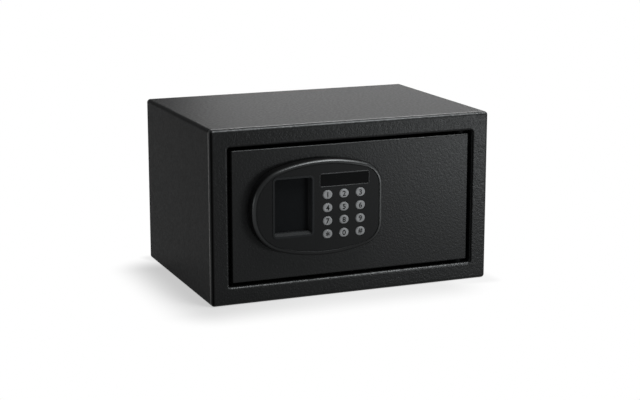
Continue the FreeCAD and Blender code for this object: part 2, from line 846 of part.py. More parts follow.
def gear_post():
    shoulder_y = rack_gear_y - gear_end_clearance
    clip_y = gear_back_y + gear_end_clearance
    base = rod_y(gear_x, (door_back_y, shoulder_y), gear_z, gear_post_base_diameter / 2)
    axle = rod_y(gear_x, (shoulder_y, clip_y), gear_z, gear_post_diameter / 2)
    clip = rod_y(gear_x, (clip_y, clip_y + gear_clip_thickness), gear_z, gear_clip_diameter / 2)
    return fused([base, axle, clip])


def motor_pinion():
    gap = motor_direction + math.pi + math.pi / pinion_teeth
    pinion = gear_blank(pinion_teeth, motor_x, motor_z, gap, (motor_gear_y, gear_back_y))
    bore_y = (motor_gear_y - cut_overrun, gear_back_y + cut_overrun)
    return pinion.cut(rod_y(motor_x, bore_y, motor_z, motor_shaft_diameter / 2))


def motor_shaft():
    return rod_y(motor_x, (bracket_y - motor_shaft_seat, gear_back_y), motor_z, motor_shaft_diameter / 2)


def lock_motor():
    can = rod_y(motor_x, (door_back_y, bracket_y), motor_z, motor_diameter / 2)
    boss = rod_y(motor_x, (bracket_y, bracket_y + motor_boss_height), motor_z, motor_boss_diameter / 2)
    bore_y = (bracket_y - motor_shaft_seat - cut_overrun, bracket_y + motor_boss_height + cut_overrun)
    bore = rod_y(motor_x, bore_y, motor_z, motor_shaft_diameter / 2 + running_clearance)
    return fused([can, boss]).cut(bore)


def motor_bracket():
    z_span = (motor_z - bracket_half_height, motor_z + bracket_half_height)
    plate_y = (bracket_y, bracket_y + bracket_sheet)
    plate = box((motor_x - bracket_reach, bracket_leg_x + bracket_sheet), plate_y, z_span)
    leg = box((bracket_leg_x, bracket_leg_x + bracket_sheet), (door_back_y, plate_y[1]), z_span)
    foot = box((bracket_leg_x, bracket_right), (door_back_y, door_back_y + bracket_sheet), z_span)
    hole_y = (plate_y[0] - cut_overrun, plate_y[1] + cut_overrun)
    hole = rod_y(motor_x, hole_y, motor_z, motor_boss_diameter / 2 + running_clearance)
    return fused([plate, leg, foot]).cut(hole)


def limit_switches():
    x_span = (web_right + switch_gap, web_right + switch_gap + switch_length)
    body_y = (door_back_y, door_back_y + switch_height)
    switches = []
    for z in centred(mid_z, switch_spacing):
        body = box(x_span, body_y, centred(z, switch_width))
        button_y = (body_y[1], body_y[1] + switch_button_height)
        button = rod_y(sum(x_span) / 2, button_y, z, switch_button_diameter / 2)
        switches.append(fused([body, button]))
    return Part.makeCompound(switches)


def control_board():
    y_span = (control_front_y, control_back_y)
    return box(centred(board_x, board_width), y_span, centred(mid_z, board_height))


def board_standoffs():
    across = centred(board_x, board_width - 2 * board_post_inset)
    upright = centred(mid_z, board_height - 2 * board_post_inset)
    y_span = (door_back_y, control_front_y)
    return Part.makeCompound([rod_y(x, y_span, z, board_post_diameter / 2) for x in across for z in upright])


def board_components():
    plug = box(centred(cable_x, plug_width), (plug_front_y, control_front_y), centred(cable_z, plug_length))
    chip_y = (control_back_y, control_back_y + chip_height)
    chip = box(centred(board_x, chip_width), chip_y, centred(mid_z, chip_length))
    can_y = (control_back_y, control_back_y + capacitor_height)
    cans = [rod_y(board_x + component_pitch, can_y, z, capacitor_diameter / 2)
            for z in centred(mid_z, component_pitch)]
    return Part.makeCompound([plug, chip] + cans)


def cable_grommet():
    radius = cable_diameter / 2 + grommet_wall
    flange = radius + grommet_flange_width
    outside_y = (door_front_y - grommet_flange_thickness, door_back_y + grommet_flange_thickness)
    sleeve = rod_y(cable_x, outside_y, cable_z, radius)
    front = rod_y(cable_x, (outside_y[0], door_front_y), cable_z, flange)
    back = rod_y(cable_x, (door_back_y, outside_y[1]), cable_z, flange)
    bore_y = (outside_y[0] - cut_overrun, outside_y[1] + cut_overrun)
    bore = rod_y(cable_x, bore_y, cable_z, cable_diameter / 2 + running_clearance)
    return fused([sleeve, front, back]).cut(bore)


def panel_cable():
    return rod_y(cable_x, (panel_board_back_y, plug_front_y), cable_z, cable_diameter / 2)


def leftmost_crossing(first, first_radius, second, second_radius):
    """Left one of the two points at the stated distances from two centres."""
    across = second[0] - first[0]
    up = second[1] - first[1]
    apart = math.hypot(across, up)
    along = (first_radius ** 2 - second_radius ** 2 + apart ** 2) / (2 * apart)
    aside = math.sqrt(first_radius ** 2 - along ** 2)
    foot = (first[0] + along * across / apart, first[1] + along * up / apart)
    step = (aside * up / apart, aside * across / apart)
    return min((foot[0] - step[0], foot[1] + step[1]), (foot[0] + step[0], foot[1] - step[1]))


def direction(origin, target):
    return math.atan2(target[1] - origin[1], target[0] - origin[0])


def panel_outline(inset, y):
    """Closed outline of the lock panel, moved in by inset.

    Each half is a chain of arcs that meet in common tangents: nose, shoulder, crown and corner.
    """
    nose = (panel_left + panel_nose_radius, 0)
    crown = (panel_left + panel_crown_offset, panel_half_height - panel_crown_radius)
    shoulder = leftmost_crossing(nose, panel_nose_radius - panel_shoulder_radius,
                                 crown, panel_crown_radius - panel_shoulder_radius)
    corner_x = panel_right - panel_corner_radius
    reach = panel_crown_radius - panel_corner_radius
    corner = (corner_x, crown[1] + math.sqrt(reach ** 2 - (corner_x - crown[0]) ** 2))
    nose_turn = direction(nose, shoulder)
    crown_turn = direction(crown, shoulder)
    corner_turn = direction(crown, corner)
    upper = [
        (shoulder, panel_shoulder_radius, nose_turn, crown_turn),
        (crown, panel_crown_radius, crown_turn, corner_turn),
        (corner, panel_corner_radius, corner_turn, 0),
    ]
    lower = [((c[0], -c[1]), radius, -end, -begin) for c, radius, begin, end in reversed(upper)]

    def place(point):
        return Vector(point[0], y, panel_z + point[1])

    def arc(centre, radius, begin, end):
        angles = (begin, (begin + end) / 2, end)
        return Part.Arc(*[place(circle_point(centre, radius - inset, a)) for a in angles]).toShape()

    wall_x = panel_right - inset
    edges = [arc(*piece) for piece in upper]
    edges.append(Part.makeLine(place((wall_x, corner[1])), place((wall_x, -corner[1]))))
    edges += [arc(*piece) for piece in lower]
    edges.append(arc(nose, panel_nose_radius, 2 * math.pi - nose_turn, nose_turn))
    return Part.Wire(edges)


def panel_block(inset, y_span):
    return Part.Face(panel_outline(inset, y_span[0])).extrude(Vector(0, y_span[1] - y_span[0], 0))


def panel_housing():
    block = panel_block(0, (panel_front_y, housing_back_y))
    shell = block.makeFillet(panel_rim_radius, edges_at_y(block, panel_front_y))
    shell = shell.cut(panel_block(panel_rim_width, (panel_front_y - cut_overrun, fascia_back_y)))
    rim = panel_outline(panel_rim_width, panel_front_y)
    front_edges = edges_at_y(shell, panel_front_y)
    rim_edges = [edge for edge in front_edges if edge.distToShape(rim)[0] < plane_tolerance]
    shell = shell.makeChamfer(panel_rim_chamfer, rim_edges)
    ledge_y = (fascia_back_y - cut_overrun, ledge_back_y + cut_overrun)
    shell = shell.cut(panel_block(panel_ledge_width, ledge_y))
    shell = shell.cut(panel_block(panel_wall, (ledge_back_y, housing_back_y + cut_overrun)))
    screw_y = (door_back_y - panel_screw_length - screw_tip_room, door_front_y + cut_overrun)
    boss_y = (fascia_back_y, door_front_y)
    bosses = [rod_y(x, boss_y, z, panel_boss_diameter / 2) for x, z in panel_screw_places()]
    shell = fused([shell] + bosses)
    for x, z in panel_screw_places():
        shell = shell.cut(rod_y(x, screw_y, z, panel_screw_diameter / 2 + running_clearance))
    return shell


def panel_gasket():
    y_span = (housing_back_y, door_front_y)
    inner = panel_block(panel_wall, (y_span[0] - cut_overrun, y_span[1] + cut_overrun))
    ring = panel_block(gasket_inset, y_span).cut(inner)
    for x, z in panel_screw_places():
        ring = ring.cut(rod_y(x, y_span, z, panel_boss_diameter / 2))
    return ring


def panel_screws():
    screws = [headed_screw(x, z, door_back_y, 1, panel_screw_diameter / 2, panel_screw_length,
                           panel_screw_head_diameter / 2, panel_screw_head_height)
              for x, z in panel_screw_places()]
    return Part.makeCompound(screws)


def key_places():
    places = {}
    for row, names in enumerate(key_rows):
        for column, name in enumerate(names):
            x = keypad_x + (column - (len(names) - 1) / 2) * key_pitch_across
            places[name] = (x, first_row_z - row * key_pitch_down)
    return places


def pillar_places():
    reach = panel_board_half_width - pillar_inset
    return [(x, z) for x in (display_x - reach, display_x + reach) for z in (first_row_z, last_row_z)]


def cup_sleeve(margin, y_span):
    width = cup_width + 2 * margin
    height = cup_height + 2 * margin
    return rounded_block(centred(cup_x, width), y_span, centred(cup_z, height), cup_corner_radius + margin)


def display_block(margin, y_span):
    x_span = centred(display_x, display_width + 2 * margin)
    z_span = centred(display_z, display_height + 2 * margin)
    return rounded_block(x_span, y_span, z_span, display_corner_radius + margin)


def fascia():
    through_y = (fascia_front_y - cut_overrun, fascia_back_y + cut_overrun)
    plate = panel_block(panel_rim_width + fascia_gap, (fascia_front_y, fascia_back_y))
    plate = plate.cut(cup_sleeve(cup_wall + fascia_gap, through_y))
    plate = plate.cut(display_block(0, through_y))
    for x, z in key_places().values():
        plate = plate.cut(key_block(x, z, through_y, key_radius + key_clearance))
    pillar_y = (fascia_back_y, panel_board_front_y)
    pillars = [rod_y(x, pillar_y, z, pillar_diameter / 2) for x, z in pillar_places()]
    return fused([plate] + pillars)


def finger_cup():
    """Drafted pocket with a sloped lower ledge and a thin bezel that lies on the fascia."""
    bezel_front_y = fascia_front_y - cup_bezel_height
    floor_y = cup_back_y - cup_wall
    bezel = cup_sleeve(cup_wall + fascia_gap + cup_bezel_width, (bezel_front_y, fascia_front_y))
    sleeve = cup_sleeve(cup_wall, (fascia_front_y, cup_back_y))
    mouth = cup_sleeve(0, (bezel_front_y, floor_y))
    floor = cup_sleeve(-cup_draft, (bezel_front_y, floor_y))
    hollow = Part.makeLoft([end_outline(mouth, bezel_front_y), end_outline(floor, floor_y)], True, True)
    hollow = hollow.makeFillet(cup_floor_radius, edges_at_y(hollow, floor_y))
    return fused([fused([bezel, sleeve]).cut(hollow), cup_ledge().common(sleeve)])


def cup_ledge():
    """Ledge along the pocket's lower lip, with a front that slopes up at half a right angle."""
    low_z = cup_z - cup_height / 2
    high_z = low_z + cup_sill
    slope_end_y = fascia_front_y + cup_sill
    corners = [(fascia_front_y, low_z), (slope_end_y, high_z), (cup_back_y, high_z), (cup_back_y, low_z)]
    start_x, end_x = centred(cup_x, cup_width + cup_wall)
    points = [Vector(start_x, y, z) for y, z in corners]
    return Part.Face(Part.makePolygon(points + points[:1])).extrude(Vector(end_x - start_x, 0, 0))


def display_window():
    return display_block(-display_gap, (lens_front_y, lens_back_y))


def display_module():
    return display_block(display_frame, (fascia_back_y, panel_board_front_y))


def keypad_mat():
    reach = keys_half_width + keypad_mat_margin
    z_low = last_row_z - key_flange_radius - keypad_mat_margin
    z_high = first_row_z + key_flange_radius + keypad_mat_margin
    sheet = box((keypad_x - reach, keypad_x + reach), (mat_front_y, panel_board_front_y), (z_low, z_high))
    domes = [rod_y(x, (key_back_y, mat_front_y), z, dome_diameter / 2) for x, z in key_places().values()]
    return fused([sheet] + domes)


def panel_board():
    x_span = centred(display_x, 2 * panel_board_half_width)
    return box(x_span, (panel_board_front_y, panel_board_back_y), (panel_board_bottom, panel_board_top))


def key_block(x, z, y_span, radius):
    """Round-ended block on a key's place, a little wider than high."""
    return capped_slot(centred(x, key_width - key_height), y_span, z, radius)


def key_cap(x, z):
    cap = key_block(x, z, (key_front_y, fascia_back_y), key_radius)
    cap = cap.makeChamfer(key_chamfer, edges_at_y(cap, key_front_y))
    flange = key_block(x, z, (fascia_back_y, key_back_y), key_flange_radius)
    return fused([cap, flange])


def all_parts():
    upper_pin = hinge_pin_upper()
    upper_lug = hinge_lug_upper()
    low_bolt, high_bolt = [lock_bolt(z) for z in bolt_heights()]
    parts = {
        "body_wrap": body_wrap(),
        "back_panel": back_panel(),
        "front_frame": front_frame(),
        "floor_mat": floor_mat(),
        "hinge_pin_upper": upper_pin,
        "hinge_pin_lower": mirrored_below(upper_pin),
        "hinge_washers": hinge_washers(),
        "door_plate": door_plate(),
        "mechanism_case": mechanism_case(),
        "cover_posts": cover_posts(),
        "inner_cover": inner_cover(),
        "cover_screws": cover_screws(),
        "hinge_lug_upper": upper_lug,
        "hinge_lug_lower": mirrored_below(upper_lug),
        "guide_posts": guide_posts(),
        "gear_post": gear_post(),
        "motor_bracket": motor_bracket(),
        "lock_motor": lock_motor(),
        "limit_switches": limit_switches(),
        "control_board": control_board(),
        "board_standoffs": board_standoffs(),
        "board_components": board_components(),
        "battery_box": battery_box(),
        "battery_contacts": battery_contacts(),
        "battery_cells": battery_cells(),
        "battery_lid": battery_lid(),
        "cable_grommet": cable_grommet(),
        "panel_cable": panel_cable(),
        "bolt_carriage": bolt_carriage(),
        "bolt_upper": high_bolt,
        "bolt_lower": low_bolt,
        "bolt_rack": bolt_rack(),
        "drive_gear": drive_gear(),
        "motor_pinion": motor_pinion(),
        "motor_shaft": motor_shaft(),
        "panel_gasket": panel_gasket(),
        "panel_housing": panel_housing(),
        "panel_screws": panel_screws(),
        "fascia": fascia(),
        "finger_cup": finger_cup(),
        "display_window": display_window(),
        "display_module": display_module(),
        "keypad_mat": keypad_mat(),
        "panel_board": panel_board(),
    }
    for name, (x, z) in key_places().items():
        parts[name] = key_cap(x, z)
    return parts


os.makedirs("parts", exist_ok=True)
for node, shape in all_parts().items():
    shape.exportStep("parts/" + node + ".step")
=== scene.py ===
import math

import bmesh
import bpy
from mathutils import Matrix, Vector


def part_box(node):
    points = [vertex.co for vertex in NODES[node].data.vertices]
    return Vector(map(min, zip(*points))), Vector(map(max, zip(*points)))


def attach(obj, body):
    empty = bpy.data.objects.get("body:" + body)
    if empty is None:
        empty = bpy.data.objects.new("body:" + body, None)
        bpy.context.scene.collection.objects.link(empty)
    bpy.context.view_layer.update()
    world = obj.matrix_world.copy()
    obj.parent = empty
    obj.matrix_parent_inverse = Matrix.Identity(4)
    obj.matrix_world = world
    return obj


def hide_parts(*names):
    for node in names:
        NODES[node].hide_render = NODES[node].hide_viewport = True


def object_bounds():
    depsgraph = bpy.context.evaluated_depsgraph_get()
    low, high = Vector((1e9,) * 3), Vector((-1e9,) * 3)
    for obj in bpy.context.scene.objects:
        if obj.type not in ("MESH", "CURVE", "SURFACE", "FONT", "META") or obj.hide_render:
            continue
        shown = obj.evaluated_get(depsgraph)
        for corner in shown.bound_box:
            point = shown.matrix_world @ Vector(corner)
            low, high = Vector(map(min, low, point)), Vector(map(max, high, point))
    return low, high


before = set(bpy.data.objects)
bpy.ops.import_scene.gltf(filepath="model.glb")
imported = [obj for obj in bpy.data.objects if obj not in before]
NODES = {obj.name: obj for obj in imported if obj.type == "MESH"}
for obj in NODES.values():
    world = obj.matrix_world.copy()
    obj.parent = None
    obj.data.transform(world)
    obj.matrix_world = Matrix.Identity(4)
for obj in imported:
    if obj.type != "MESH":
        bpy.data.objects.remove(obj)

CAD_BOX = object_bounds()
SCENE = bpy.context.scene
# Lengths are in metres and angles in degrees.
MM = 0.001
RIGHT_ANGLE = 90


# Materials

class Shader:
    """A node material around one Principled shader."""

    def __init__(self, name):
        self.material = bpy.data.materials.new(name)
        self.material.use_nodes = True
        self.tree = self.material.node_tree
        self.surface = self.tree.nodes["Principled BSDF"]
        coordinates = self.node("ShaderNodeTexCoord")
        self.place = coordinates.outputs["Object"]
        self.normal = coordinates.outputs["Normal"]

    def node(self, kind, **settings):
        made = self.tree.nodes.new(kind)
        for key, value in settings.items():
            setattr(made, key, value)
        return made

    def link(self, source, target):
        self.tree.links.new(source, target)

    def set(self, **sockets):
        for key, value in sockets.items():
            self.surface.inputs[key.replace("_", " ")].default_value = value

    def noise(self, scale, detail=3.0, roughness=0.55, stretch=(1, 1, 1)):
        mapping = self.node("ShaderNodeMapping")
        mapping.inputs["Scale"].default_value = stretch
        self.link(self.place, mapping.inputs["Vector"])
        made = self.node("ShaderNodeTexNoise")
        made.inputs["Scale"].default_value = scale
        made.inputs["Detail"].default_value = detail
        made.inputs["Roughness"].default_value = roughness
        self.link(mapping.outputs["Vector"], made.inputs["Vector"])
        return made.outputs["Fac"]

    def cells(self, scale):
        made = self.node("ShaderNodeTexVoronoi", feature="SMOOTH_F1")
        made.inputs["Scale"].default_value = scale
        self.link(self.place, made.inputs["Vector"])
        return made.outputs["Distance"]

    def ramp(self, source, low, high, start=0.3, end=0.7):
        made = self.node("ShaderNodeValToRGB")
        stops = made.color_ramp.elements
        stops[0].position = start
        stops[0].color = (*low, 1)
        stops[1].position = end
        stops[1].color = (*high, 1)
        self.link(source, made.inputs["Fac"])
        return made.outputs["Color"]

    def span(self, source, low, high, start=0.3, end=0.7, interpolation="LINEAR"):
        made = self.node("ShaderNodeMapRange", interpolation_type=interpolation)
        limits = {"From Min": start, "From Max": end, "To Min": low, "To Max": high}
        for key, value in limits.items():
            made.inputs[key].default_value = value
        self.link(source, made.inputs["Value"])
        return made.outputs["Result"]

    def math(self, operation, first, second=0):
        made = self.node("ShaderNodeMath", operation=operation)
        for socket, value in zip(made.inputs, (first, second)):
            if isinstance(value, (int, float)):
                socket.default_value = value
            else:
                self.link(value, socket)
        return made.outputs["Value"]

    def vector(self, operation, first, second=None, output="Vector"):
        made = self.node("ShaderNodeVectorMath", operation=operation)
        self.link(first, made.inputs[0])
        if isinstance(second, bpy.types.NodeSocket):
            self.link(second, made.inputs[1])
        elif second is not None:
            made.inputs[1].default_value = second
        return made.outputs[output]

    def parts(self, vector):
        made = self.node("ShaderNodeSeparateXYZ")
        self.link(vector, made.inputs["Vector"])
        return made.outputs

    def mix(self, factor, first, second):
        made = self.node("ShaderNodeMix", data_type="RGBA")
        self.link(factor, made.inputs["Factor"])
        colours = [socket for socket in made.inputs if socket.type == "RGBA"]
        self.link(first, colours[0])
        self.link(second, colours[1])
        return [socket for socket in made.outputs if socket.type == "RGBA"][0]

    def colour(self, source):
        self.link(source, self.surface.inputs["Base Color"])

    def roughness(self, source):
        self.link(source, self.surface.inputs["Roughness"])

    def specular(self, source):
        self.link(source, self.surface.inputs["Specular IOR Level"])

    def bump(self, height, strength, distance):
        made = self.node("ShaderNodeBump")
        made.inputs["Strength"].default_value = strength
        made.inputs["Distance"].default_value = distance
        self.link(height, made.inputs["Height"])
        self.link(made.outputs["Normal"], self.surface.inputs["Normal"])


# Noise scales are in cycles per metre. A spread is the share by which a colour varies about its mean.
COOL = (0.94, 0.985, 1.0, 1.0)
FINE_DEPTH = 0.1 * MM


def tint(grey, warm=0.0):
    return (grey * (1 + warm), grey, grey * (1 - warm))


def uneven(shader, cloud, grey, spread, warm):
    """Colour that varies with the cloud about one grey."""
    return shader.ramp(cloud, tint(grey * (1 - spread), warm), tint(grey * (1 + spread), warm))


COAT_SCALE = 330
COAT_ROUGH = (0.36, 0.46)
COAT_DEPTH = 1.0 * MM
COAT_CLOUD_SCALE = 60
COAT_SPREAD = 0.1
COAT_WARM = -0.02
PITS_PER_LUMP = 2
PIT_SHARE = 0.5
# Ranges of the normal's parts over which a bend comes to count as raised, or as turned to the left; raised
# bends get extra gloss, a painted highlight, and those turned to the left lose their gloss, a painted dark
# line
RAISED_UP = (0.1, 0.35)
RAISED_FRONT = (0.05, 0.25)
LEFT_ACROSS = (-0.4, -0.06)
LEFT_FRONT = (0.55, 0.75)


def powder_coat(name, grey, peel, specular, rough=COAT_ROUGH, bend_highlight_specular=None):
    """Black powder coat with an orange-peel skin.

    With a bend gloss given, bends that face up get it, which paints a brighter highlight on them, and bends
    that face left lose their gloss, which paints a dark line along them.
    """
    shader = Shader(name)
    lumps = shader.noise(COAT_SCALE, detail=2.0)
    pits = shader.cells(COAT_SCALE * PITS_PER_LUMP)
    skin = shader.math("ADD", lumps, shader.math("MULTIPLY", pits, PIT_SHARE))
    cloud = shader.noise(COAT_CLOUD_SCALE, detail=5.0, roughness=0.7)
    shader.colour(uneven(shader, cloud, grey, COAT_SPREAD, COAT_WARM))
    shader.roughness(shader.span(lumps, *rough))
    shader.bump(skin, peel, COAT_DEPTH)
    shader.set(Specular_IOR_Level=specular, Specular_Tint=COOL)
    if bend_highlight_specular:
        # Painted highlight on raised bends and painted dark line on bends turned to the left
        normal = shader.parts(shader.normal)
        facing = shader.math("ABSOLUTE", normal["Y"])
        raised_up = shader.span(normal["Z"], 0, 1, *RAISED_UP)
        raised = shader.math("MULTIPLY", raised_up, shader.span(facing, 0, 1, *RAISED_FRONT))
        left_across = shader.span(normal["X"], 1, 0, *LEFT_ACROSS)
        left = shader.math("MULTIPLY", left_across, shader.span(facing, 0, 1, *LEFT_FRONT))
        gloss = shader.span(raised, specular, bend_highlight_specular, 0, 1)
        shader.specular(shader.math("MULTIPLY", gloss, shader.span(left, 1, 0, 0, 1)))
    return shader.material


GRAIN_SCALE = 2200
GRAIN_DEPTH = 0.2 * MM
PLASTIC_CLOUD_SCALE = 30
PLASTIC_SPREAD = 0.12
PLASTIC_WARM = -0.03


def grained(name, grain, rough):
    """Shader of moulded plastic with a fine spark grain, without a colour."""
    shader = Shader(name)
    fine = shader.noise(GRAIN_SCALE, detail=2.0)
    shader.roughness(shader.span(fine, *rough))
    shader.bump(fine, grain, GRAIN_DEPTH)
    shader.set(Specular_Tint=COOL)
    return shader


def moulded(name, grey, grain, rough, specular=0.5, warm=PLASTIC_WARM):
    """Moulded plastic of one finish."""
    shader = grained(name, grain, rough)
    shader.colour(uneven(shader, shader.noise(PLASTIC_CLOUD_SCALE), grey, PLASTIC_SPREAD, warm))
    shader.set(Specular_IOR_Level=specular)
    return shader.material


# Reach and upward range over which the rim gets the extra gloss that paints its highlight
ACROSS_AND_UP = (1, 0, 1)
RIM_REACH = (0, 20 * MM)
RIM_UPPER = (-0.5, 0.3)


def rimmed(name, node, grey, grain, rough, specular, rim_highlight_specular):
    """Moulded plastic whose outer rim gets more gloss, apart from where it faces down, which paints a
    brighter highlight along its top and sides.
    """
    shader = grained(name, grain, rough)
    shader.colour(uneven(shader, shader.noise(PLASTIC_CLOUD_SCALE), grey, PLASTIC_SPREAD, PLASTIC_WARM))
    low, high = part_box(node)
    from_middle = shader.vector("SUBTRACT", shader.place, (low + high) / 2)
    sideways = shader.vector("MULTIPLY", shader.normal, ACROSS_AND_UP)
    outward = shader.vector("DOT_PRODUCT", from_middle, sideways, output="Value")
    outer = shader.span(outward, 0, 1, *RIM_REACH)
    upper = shader.span(shader.parts(shader.normal)["Z"], 0, 1, *RIM_UPPER)
    # More gloss on the upper outer rim paints its highlight
    shader.specular(shader.span(shader.math("MULTIPLY", outer, upper), specular, rim_highlight_specular, 0, 1))
    return shader.material


CUP_FLOOR_WARM = -0.1
CUP_WALL_WARM = -0.05
CUP_WALL_FRONT = (0.5, 0.8)
BEZEL_START = 0.3 * MM
BEZEL_END = 0.8 * MM


def cup_plastic(name, node, floor_grey, painted_light_wall_grey, grain, rough,
                floor_specular, wall_specular, bezel_specular):
    """Moulded plastic with a dull floor and a satin bezel; paler grey and more gloss on its walls and ledge
    paint light and a highlight into the pocket's shade.
    """
    shader = grained(name, grain, rough)
    facing = shader.math("ABSOLUTE", shader.parts(shader.normal)["Y"])
    wall = shader.span(facing, 1, 0, *CUP_WALL_FRONT)
    cloud = shader.noise(PLASTIC_CLOUD_SCALE)
    floor_colour = uneven(shader, cloud, floor_grey, PLASTIC_SPREAD, CUP_FLOOR_WARM)
    # The walls' paler grey is painted light on the shaded walls and ledge
    painted_light_wall_colour = uneven(shader, cloud, painted_light_wall_grey, PLASTIC_SPREAD, CUP_WALL_WARM)
    shader.colour(shader.mix(wall, floor_colour, painted_light_wall_colour))
    front_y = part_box(node)[0].y
    depth = shader.parts(shader.place)["Y"]
    bezel = shader.span(depth, bezel_specular, 0, front_y + BEZEL_START, front_y + BEZEL_END)
    shader.specular(shader.math("ADD", shader.span(wall, floor_specular, wall_specular, 0, 1), bezel))
    return shader.material


BRUSH_SCALE = 500
BRUSH_STRENGTH = 0.12
METAL_CLOUD_SCALE = 25
METAL_DARK_SHARE = 0.82


def brushed(name, colour, rough, stretch, scale=BRUSH_SCALE):
    """Bare metal with fine lines that run along the axes on which stretch is 1."""
    shader = Shader(name)
    lines = shader.noise(scale, stretch=stretch)
    cloud = shader.noise(METAL_CLOUD_SCALE)
    dark = tuple(part * METAL_DARK_SHARE for part in colour)
    shader.colour(shader.ramp(cloud, dark, colour))
    shader.roughness(shader.span(lines, *rough))
    shader.bump(lines, BRUSH_STRENGTH, FINE_DEPTH)
    shader.set(Metallic=1.0)
    return shader.material


FIBRE_SCALE = 1400
TUFT_SCALE = 180
FELT_DEPTH = 1.2 * MM
# Shares of the grey on dark and pale fibres, between the tufts and on them
FIBRE_SHARES = ((0.5, 1.3), (0.8, 1.9))


def felt(name, grey):
    """Matted fibres in tufts."""
    shader = Shader(name)
    fibres = shader.noise(FIBRE_SCALE, detail=6.0, roughness=0.75)
    tufts = shader.noise(TUFT_SCALE, detail=4.0)
    colours = [shader.ramp(fibres, tint(grey * dark), tint(grey * pale)) for dark, pale in FIBRE_SHARES]
    shader.colour(shader.mix(shader.span(tufts, 0, 1), *colours))
    shader.bump(shader.math("ADD", fibres, tufts), strength=0.6, distance=FELT_DEPTH)
    shader.set(Roughness=0.95, Specular_IOR_Level=0.1, Sheen_Weight=0.15)
    return shader.material


TRACK_SCALE = 260
TRACK_EDGE = (0.48, 0.52)
MASK_COLOURS = ((0.008, 0.06, 0.025), (0.015, 0.12, 0.05))
MASK_GRAIN_SCALE = 600
MASK_ROUGH = (0.3, 0.42)


def solder_mask(name):
    """Green board with paler tracks under the mask."""
    shader = Shader(name)
    tracks = shader.noise(TRACK_SCALE, detail=1.0, stretch=(1, 1, 5))
    shader.colour(shader.ramp(tracks, *MASK_COLOURS, *TRACK_EDGE))
    shader.roughness(shader.span(shader.noise(MASK_GRAIN_SCALE), *MASK_ROUGH))
    shader.bump(tracks, strength=0.2, distance=FINE_DEPTH)
    return shader.material


SCUFF_SCALE = 300
SLEEVE_COLOURS = ((0.02, 0.02, 0.022), (0.05, 0.05, 0.055))
SLEEVE_ROUGH = (0.2, 0.34)


def cell_sleeve(name):
    """Plain dark shrink sleeve with fine scuffs."""
    shader = Shader(name)
    scuffs = shader.noise(SCUFF_SCALE, detail=4.0, stretch=(0.2, 1, 1))
    shader.colour(shader.ramp(scuffs, *SLEEVE_COLOURS))
    shader.roughness(shader.span(scuffs, *SLEEVE_ROUGH))
    shader.bump(scuffs, strength=0.05, distance=FINE_DEPTH)
    return shader.material


FRONT_ROUGH = (0.34, 0.42)
# Cabinet, frame and door share one black paint, given as copies tuned to their light: the cabinet's copy is
# paler and almost without gloss, so its sides show a painted shade instead of the floor's reflection, and
# the front's copies are darker and glossier
PAINT_CABINET = powder_coat("paint_cabinet", grey=0.0135, peel=0.06, specular=0.0082)
PAINT_FRAME = powder_coat("paint_frame", grey=0.0035, peel=0.30, specular=0.112, rough=FRONT_ROUGH,
                          bend_highlight_specular=0.36)
PAINT_DOOR = powder_coat("paint_door", grey=0.0038, peel=0.17, specular=0.114, rough=FRONT_ROUGH,
                         bend_highlight_specular=0.28)
PAINT_COVER = powder_coat("paint_cover", grey=0.03, peel=0.06, specular=0.2)
PAINT_HINGE = powder_coat("paint_hinge", grey=0.004, peel=0.05, specular=0.05)
HOUSING = rimmed("housing_satin", "panel_housing", grey=0.003, grain=0.02, rough=(0.32, 0.38),
                 specular=0.08, rim_highlight_specular=0.52)
CUP = cup_plastic("cup_satin", "finger_cup", floor_grey=0.005, painted_light_wall_grey=0.02, grain=0.04, rough=(0.3, 0.4),
                  floor_specular=0.018, wall_specular=0.08, bezel_specular=0.085)
TRIM = moulded("trim_satin", grey=0.002, grain=0.05, rough=(0.35, 0.45), specular=0.18)
FASCIA = moulded("fascia_grain", grey=0.0035, grain=0.10, rough=(0.42, 0.5), specular=0.074)
LENS = moulded("lens_polish", grey=0.003, grain=0.0, rough=(0.12, 0.16), specular=0.035)
KEY = moulded("key_grey", grey=0.122, grain=0.03, rough=(0.42, 0.5))
INK = moulded("key_ink", grey=0.003, grain=0.03, rough=(0.5, 0.6), specular=0.04, warm=-0.02)
DARK_PLASTIC = moulded("plastic_black", grey=0.022, grain=0.06, rough=(0.4, 0.55))
NYLON = moulded("washer_nylon", grey=0.004, grain=0.05, rough=(0.6, 0.7), specular=0.03)
RUBBER = moulded("rubber_black", grey=0.018, grain=0.15, rough=(0.7, 0.85), specular=0.25)
ACETAL = moulded("gear_acetal", grey=0.62, grain=0.02, rough=(0.3, 0.42), warm=0.03)
ZINC_SHEET = brushed("zinc_sheet", (0.34, 0.345, 0.36), rough=(0.46, 0.6), stretch=(1, 1, 12), scale=120)
STEEL = brushed("hardware_steel", (0.56, 0.56, 0.57), rough=(0.26, 0.4), stretch=(6, 6, 1))
BOLT_STEEL = brushed("bolt_steel", (0.62, 0.62, 0.63), rough=(0.16, 0.28), stretch=(14, 1, 1), scale=700)
BRASS = brushed("machined_brass", (0.70, 0.52, 0.24), rough=(0.22, 0.34), stretch=(8, 1, 1))
MOTOR_CAN = brushed("motor_can", (0.50, 0.50, 0.51), rough=(0.24, 0.36), stretch=(1, 12, 1))
NICKEL = brushed("contact_nickel", (0.66, 0.63, 0.58), rough=(0.2, 0.32), stretch=(1, 8, 1))
BOARD = solder_mask("board_mask")
SLEEVE = cell_sleeve("cell_sleeve")
FELT = felt("floor_felt", grey=0.05)

